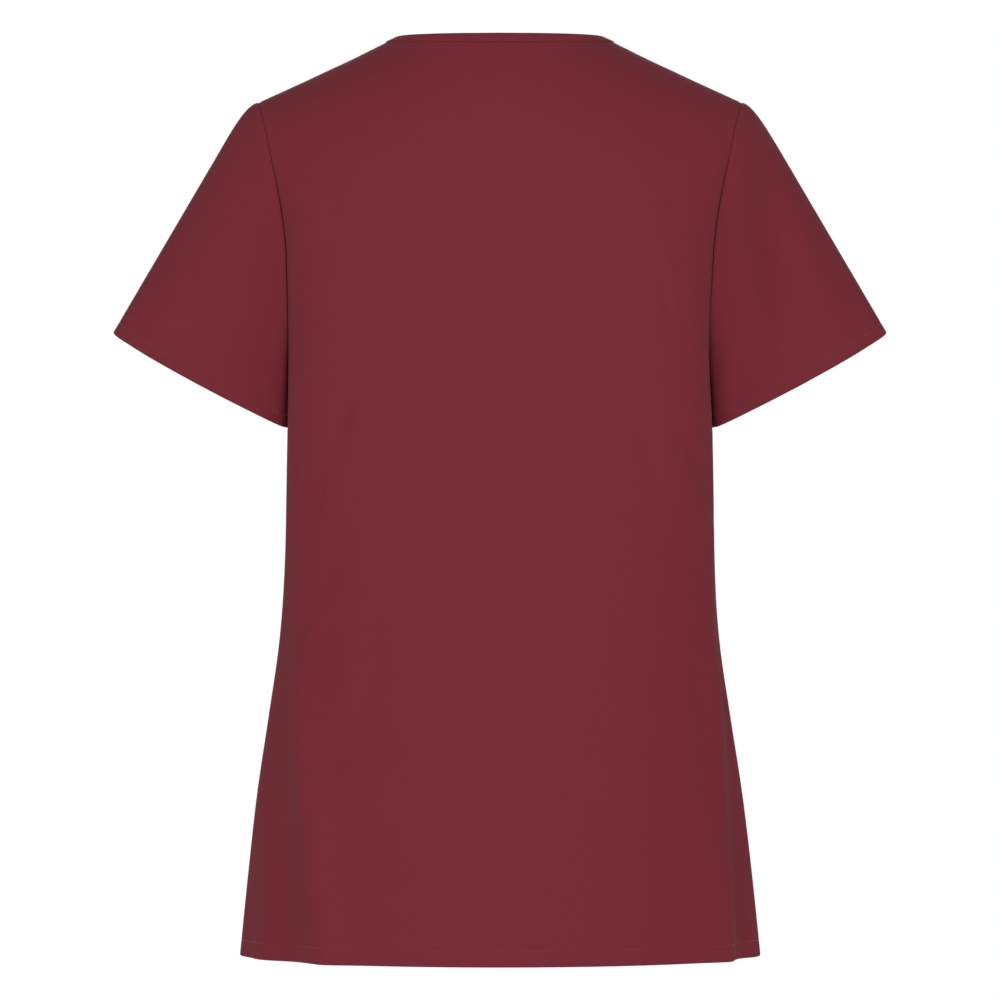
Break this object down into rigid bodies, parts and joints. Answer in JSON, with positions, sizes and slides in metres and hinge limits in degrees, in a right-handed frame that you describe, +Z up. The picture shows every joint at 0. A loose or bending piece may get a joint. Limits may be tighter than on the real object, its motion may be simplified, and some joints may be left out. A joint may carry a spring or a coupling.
{
  "type": "short-sleeved scrub top, worn form",
  "caption": "Pull-on short-sleeved medical scrub top with a V neck, set-in sleeves and a straight hem, filled out as it is worn and hollow inside.",
  "frame": {"origin": "midway between the two neck points, where the neckband crosses the shoulder seams, at the height of those seams", "axes": "+X towards the wearer's left, +Y towards the back, +Z up; the front faces -Y"},
  "size_m": [0.5734, 0.2448, 0.6797],
  "materials": {
    "cloth": "matt"
  },
  "bodies": {
    "root": {"back_panel": "cloth", "front_panel": "cloth", "sleeve_left": "cloth", "sleeve_right": "cloth", "neckband_back": "cloth", "neckband_front": "cloth"}
  },
  "joints": []
}
